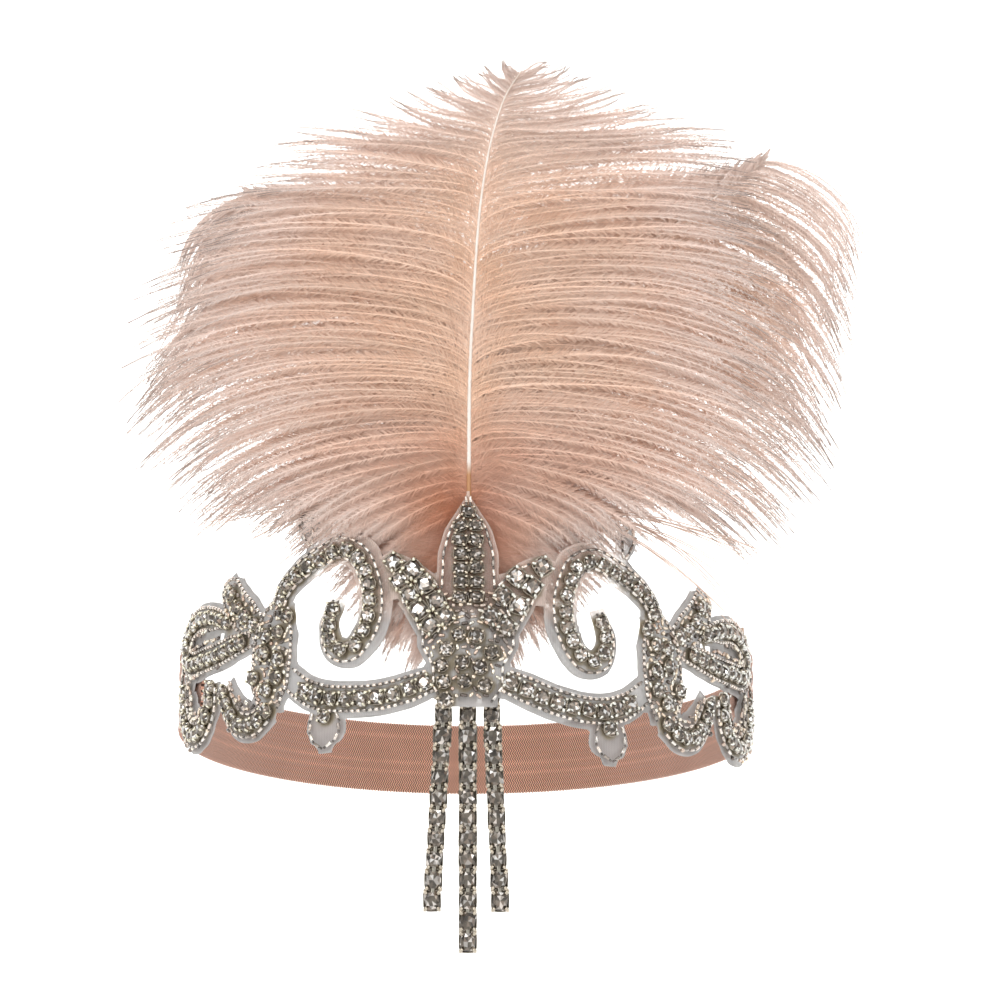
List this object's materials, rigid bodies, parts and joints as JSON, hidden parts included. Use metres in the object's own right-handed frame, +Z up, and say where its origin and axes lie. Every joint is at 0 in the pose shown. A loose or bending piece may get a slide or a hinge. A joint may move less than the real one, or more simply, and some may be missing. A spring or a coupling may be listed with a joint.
{
  "type": "flapper feather headband",
  "caption": "Flapper headband: beaded rhinestone applique on sheer net with ostrich plumes, hanging cup-chain strands and a knitted elastic back.",
  "frame": {"origin": "centre of the ring that the head fills, at the middle of the band's width", "axes": "+Z up as worn, +X to the viewer's right, the wearer faces -Y"},
  "size_m": [0.1851, 0.1968, 0.2186],
  "materials": {
    "elastic_knit": "matte herringbone knit, dusty rose",
    "sheer_net": "sheer white organza",
    "rhinestone": "foil-backed cut glass in silver cups",
    "cup_chain": "bright silver cups with cut glass",
    "plume_peach": "soft peach-pink ostrich barbs"
  },
  "bodies": {
    "root": {"applique_backing": "sheer_net", "elastic_band": "elastic_knit", "heart_stones": "rhinestone", "left_arm_stones": "rhinestone", "left_bud_drop_stones": "rhinestone", "left_end_curl_stones": "rhinestone", "left_flower_stones": "rhinestone", "left_leaf_stones": "rhinestone", "left_lower_curl_stones": "rhinestone", "left_petal_stones": "rhinestone", "left_ring_stones": "rhinestone", "left_scroll_stones": "rhinestone", "plume_left": "plume_peach", "plume_middle": "plume_peach", "plume_right": "plume_peach", "right_arm_stones": "rhinestone", "right_bud_drop_stones": "rhinestone", "right_end_curl_stones": "rhinestone", "right_flower_stones": "rhinestone", "right_leaf_stones": "rhinestone", "right_lower_curl_stones": "rhinestone", "right_petal_stones": "rhinestone", "right_ring_stones": "rhinestone", "right_scroll_stones": "rhinestone", "spike_stones": "rhinestone", "strand_left": "cup_chain", "strand_middle": "cup_chain", "strand_right": "cup_chain"}
  },
  "joints": []
}
